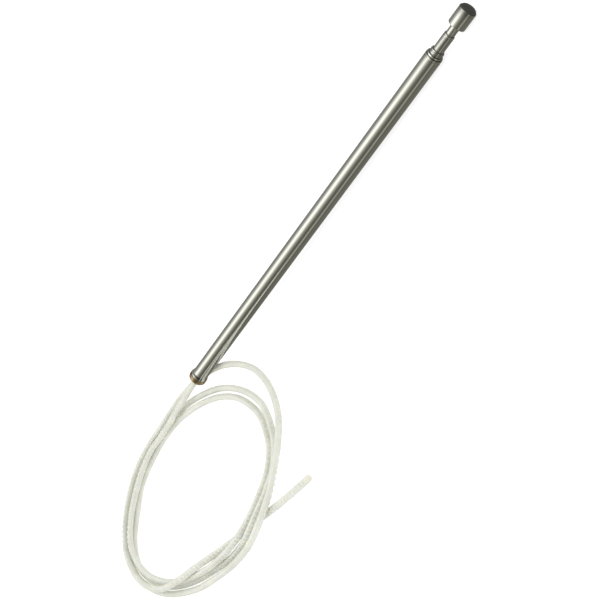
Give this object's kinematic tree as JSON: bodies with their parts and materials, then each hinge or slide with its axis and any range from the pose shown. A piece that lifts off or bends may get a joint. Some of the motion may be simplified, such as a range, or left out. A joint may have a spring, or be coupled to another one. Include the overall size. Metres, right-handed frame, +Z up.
{
  "type": "power antenna mast",
  "caption": "Telescopic steel mast of a car power antenna, lying retracted, with its toothed nylon drive cord in loose loops on the bench.",
  "frame": {"origin": "bench surface under the middle of the retracted mast, measured without the cord", "axes": "+X along the mast from its foot to its tip, +Z up from the bench, +Y to the mast's left, away from the cord's loops"},
  "size_m": [0.3586, 0.1138, 0.0124],
  "materials": {
    "steel": "polished stainless steel tube",
    "brass": "satin, slightly darkened",
    "insert": "smooth dark grey",
    "nylon": "natural ivory nylon, translucent, satin"
  },
  "bodies": {
    "outer_section": {"outer_tube": "steel", "foot_bush": "brass", "drive_cord_1": "nylon", "drive_cord_2": "nylon", "drive_cord_3": "nylon", "drive_cord_4": "nylon"},
    "second_section": {"second_tube": "steel", "second_stop_collar": "brass", "second_contact_spring": "brass"},
    "third_section": {"third_tube": "steel", "third_stop_collar": "brass", "third_contact_spring": "brass"},
    "top_section": {"top_rod": "steel", "rod_stop_collar": "brass", "rod_contact_spring": "brass", "cord_ferrule": "brass", "inner_cord": "nylon", "tip_cap": "steel", "tip_insert": "insert"}
  },
  "joints": [
    {"name": "second_slide", "type": "slide", "parent": "outer_section", "child": "second_section", "axis": [0.9999, 0, -0.0156], "range_m": [0, 0.1968]},
    {"name": "third_slide", "type": "slide", "parent": "second_section", "child": "third_section", "axis": [0.9999, 0, -0.0156], "range_m": [0, 0.19695]},
    {"name": "rod_slide", "type": "slide", "parent": "third_section", "child": "top_section", "axis": [0.9999, 0, -0.0156], "range_m": [0, 0.1845]}
  ]
}
